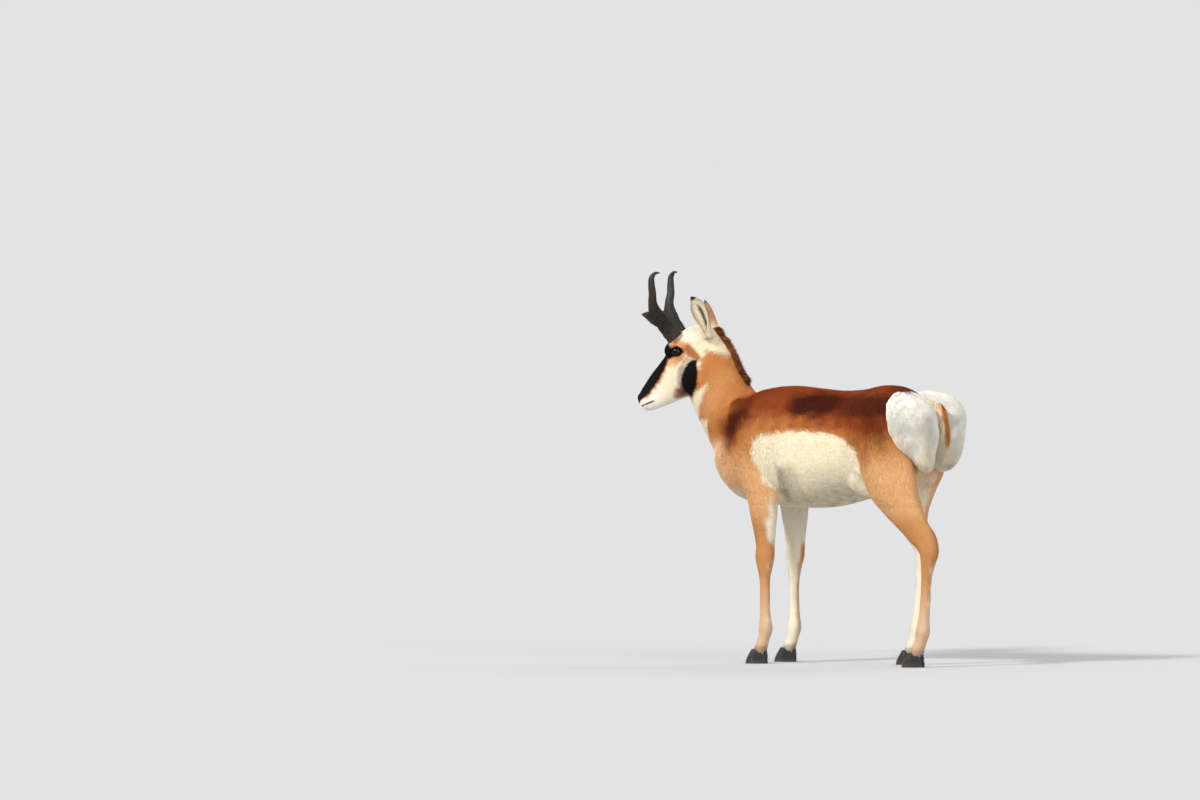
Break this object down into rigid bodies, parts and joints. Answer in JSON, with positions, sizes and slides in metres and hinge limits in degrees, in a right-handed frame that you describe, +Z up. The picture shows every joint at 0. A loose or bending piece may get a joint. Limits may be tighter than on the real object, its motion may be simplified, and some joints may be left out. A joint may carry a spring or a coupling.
{
  "type": "pronghorn buck model",
  "caption": "Life-size still model of a standing pronghorn buck with forked horns, cloven hooves, flared white rump hair and a short nape mane",
  "frame": {"origin": "on the floor, under the middle of the animal's bounding box", "axes": "+Z up, the animal faces -X, its left side is towards -Y"},
  "size_m": [1.0955, 0.3407, 1.2048],
  "materials": {
    "face_coat": "short soft hair, cream, tan and black",
    "body_coat": "dense tan and white hair, matte",
    "leg_coat": "short close hair, matte",
    "horn": "black horn sheath, rough at the base",
    "hoof": "black horn, slightly worn",
    "eye": "glossy and dark"
  },
  "bodies": {
    "root": {"head": "face_coat", "ear_left": "face_coat", "ear_right": "face_coat", "eye_left": "eye", "eye_right": "eye", "horn_left": "horn", "horn_right": "horn", "neck": "body_coat", "chest": "body_coat", "barrel": "body_coat", "hindquarters": "body_coat", "tail": "body_coat", "fore_upper_left": "leg_coat", "fore_upper_right": "leg_coat", "fore_cannon_left": "leg_coat", "fore_cannon_right": "leg_coat", "fore_pastern_left": "leg_coat", "fore_pastern_right": "leg_coat", "fore_claw_inner_left": "hoof", "fore_claw_outer_left": "hoof", "fore_claw_inner_right": "hoof", "fore_claw_outer_right": "hoof", "hind_upper_left": "leg_coat", "hind_upper_right": "leg_coat", "hind_cannon_left": "leg_coat", "hind_cannon_right": "leg_coat", "hind_pastern_left": "leg_coat", "hind_pastern_right": "leg_coat", "hind_claw_inner_left": "hoof", "hind_claw_outer_left": "hoof", "hind_claw_inner_right": "hoof", "hind_claw_outer_right": "hoof"}
  },
  "joints": []
}
